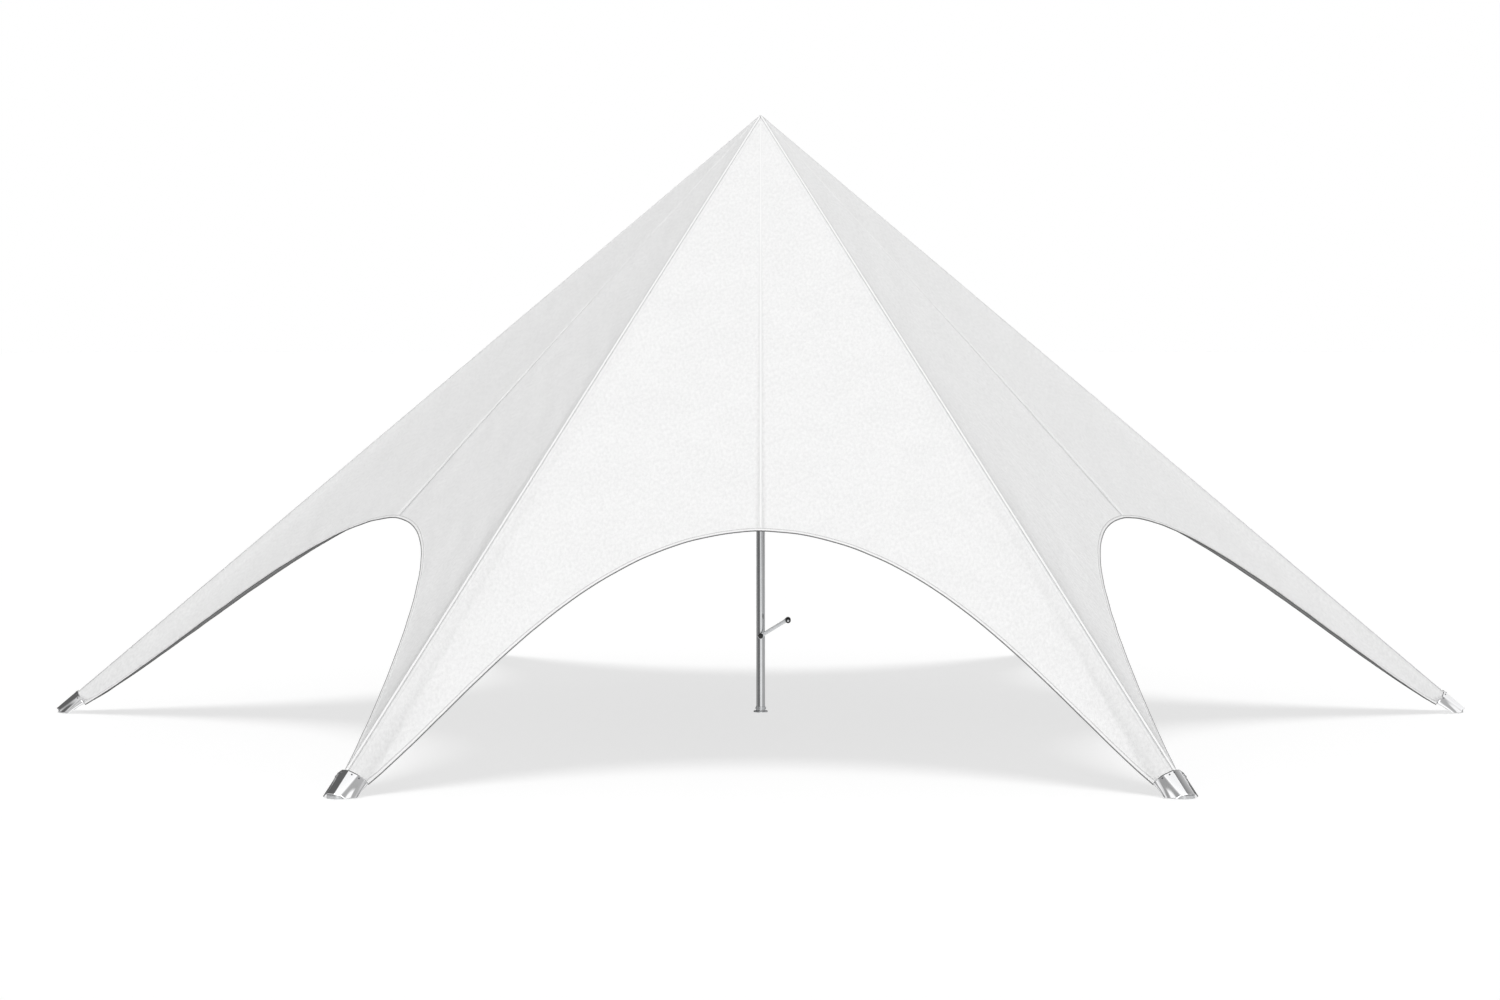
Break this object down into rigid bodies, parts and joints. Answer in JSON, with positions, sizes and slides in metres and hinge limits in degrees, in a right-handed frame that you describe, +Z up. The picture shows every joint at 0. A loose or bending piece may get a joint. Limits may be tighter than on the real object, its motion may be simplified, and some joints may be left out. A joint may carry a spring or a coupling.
{
  "type": "six-legged star tent with a crank-up mast",
  "caption": "Star-shaped fabric canopy on one central telescopic mast with a hand crank, open arches between legs that end in metal shoes.",
  "frame": {"origin": "middle of the mast's foot, on the ground", "axes": "+Z up along the mast; +X towards one leg, and a second leg points along -X; -Y out through the arch that the crank faces"},
  "size_m": [13.936, 12.1454, 5.884],
  "materials": {
    "canopy_fabric": "matte white coated polyester with fine creases",
    "webbing": "white sewn webbing",
    "edge_rope": "grey piped rope pocket",
    "shoe_steel": "polished stainless sheet",
    "plate_steel": "zinc plated, matte",
    "mast_aluminium": "brushed along the tube",
    "brushed_steel": "brushed",
    "black_plastic": "fine moulded grain"
  },
  "bodies": {
    "base": {"canopy_panel_1_left": "canopy_fabric", "canopy_panel_1_right": "canopy_fabric", "canopy_panel_2_left": "canopy_fabric", "canopy_panel_2_right": "canopy_fabric", "canopy_panel_3_left": "canopy_fabric", "canopy_panel_3_right": "canopy_fabric", "canopy_panel_4_left": "canopy_fabric", "canopy_panel_4_right": "canopy_fabric", "canopy_panel_5_left": "canopy_fabric", "canopy_panel_5_right": "canopy_fabric", "canopy_panel_6_left": "canopy_fabric", "canopy_panel_6_right": "canopy_fabric", "arch_edge_1": "edge_rope", "arch_edge_2": "edge_rope", "arch_edge_3": "edge_rope", "arch_edge_4": "edge_rope", "arch_edge_5": "edge_rope", "arch_edge_6": "edge_rope", "ridge_belt_1": "webbing", "ridge_belt_2": "webbing", "ridge_belt_3": "webbing", "ridge_belt_4": "webbing", "ridge_belt_5": "webbing", "ridge_belt_6": "webbing", "leg_shoe_1": "shoe_steel", "leg_shoe_2": "shoe_steel", "leg_shoe_3": "shoe_steel", "leg_shoe_4": "shoe_steel", "leg_shoe_5": "shoe_steel", "leg_shoe_6": "shoe_steel", "foot_plate_1": "plate_steel", "foot_plate_2": "plate_steel", "foot_plate_3": "plate_steel", "foot_plate_4": "plate_steel", "foot_plate_5": "plate_steel", "foot_plate_6": "plate_steel", "peak_cap": "canopy_fabric", "mast_base_plate": "brushed_steel", "mast_base_socket": "brushed_steel", "mast_lower_tube": "mast_aluminium", "mast_guide_collar": "black_plastic", "crank_housing": "brushed_steel"},
    "mast_top": {"mast_upper_tube": "mast_aluminium", "mast_head": "mast_aluminium"},
    "crank": {"crank_hub": "black_plastic", "crank_arm": "brushed_steel", "grip_pin": "brushed_steel"},
    "grip": {"crank_grip": "black_plastic"}
  },
  "joints": [
    {"name": "mast_lift", "type": "slide", "parent": "base", "child": "mast_top", "axis": [0, 0, 1], "range_m": [-0.3, 0]},
    {"name": "crank_turn", "type": "hinge", "parent": "base", "child": "crank", "pos_m": [0, -0.083, 0.763], "axis": [0, 1, 0], "range_deg": [-2700, 0]},
    {"name": "grip_spin", "type": "hinge", "parent": "crank", "child": "grip", "pos_m": [0.26887, -0.15, 0.92712], "axis": [0, 1, 0], "continuous": true}
  ],
  "couplings": [
    {"joint": "mast_lift", "follows": "crank_turn", "m_per_rad": 0.006366}
  ]
}
